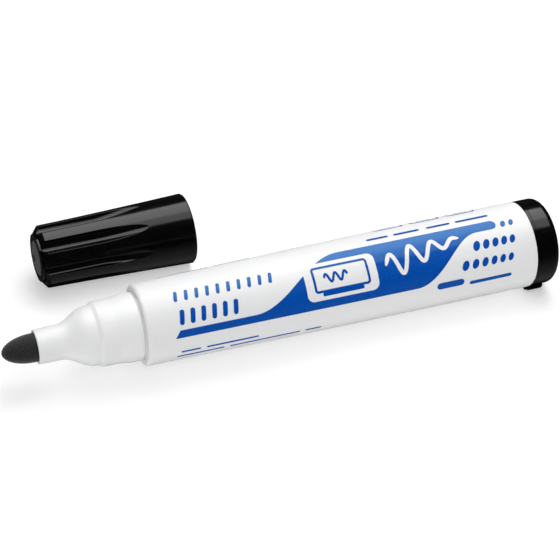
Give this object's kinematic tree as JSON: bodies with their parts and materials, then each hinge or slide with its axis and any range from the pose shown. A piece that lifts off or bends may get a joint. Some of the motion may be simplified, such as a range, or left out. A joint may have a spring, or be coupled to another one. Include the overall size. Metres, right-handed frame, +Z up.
{
  "type": "whiteboard marker",
  "caption": "Round whiteboard marker with a bullet nib, a stepped nose and a tapered barrel; its fluted cap lies open beside it.",
  "frame": {"origin": "centre of the base: under the middle of the marker and its cap, on the surface they lie on", "axes": "+X along the barrel from the nib to the rear plug, +Z up, the cap lies on the +Y side"},
  "size_m": [0.1156, 0.0474, 0.018],
  "materials": {
    "barrel_white": "white moulded polypropylene, soft gloss",
    "nib_fibre": "bonded fibre nib soaked with black ink",
    "reservoir_fibre": "bonded fibre core soaked with black ink",
    "film_clear": "thin clear plastic film",
    "plug_black": "black moulded plastic, glossy",
    "cap_black": "black moulded plastic, glossy",
    "liner_grey": "dark moulded plastic with a fine matte texture",
    "print_blue": "blue screen-printed ink film on the barrel"
  },
  "bodies": {
    "marker": {"barrel": "barrel_white", "nib": "nib_fibre", "reservoir_core": "reservoir_fibre", "reservoir_film": "film_clear", "rear_plug": "plug_black"},
    "cap": {"cap_shell": "cap_black", "cap_liner": "liner_grey"}
  },
  "joints": [
    {"name": "cap_slide", "type": "slide", "parent": "marker", "child": "cap", "axis": [-0.9142, -0.4048, 0.0199], "range_m": [0, 0.07657]}
  ]
}
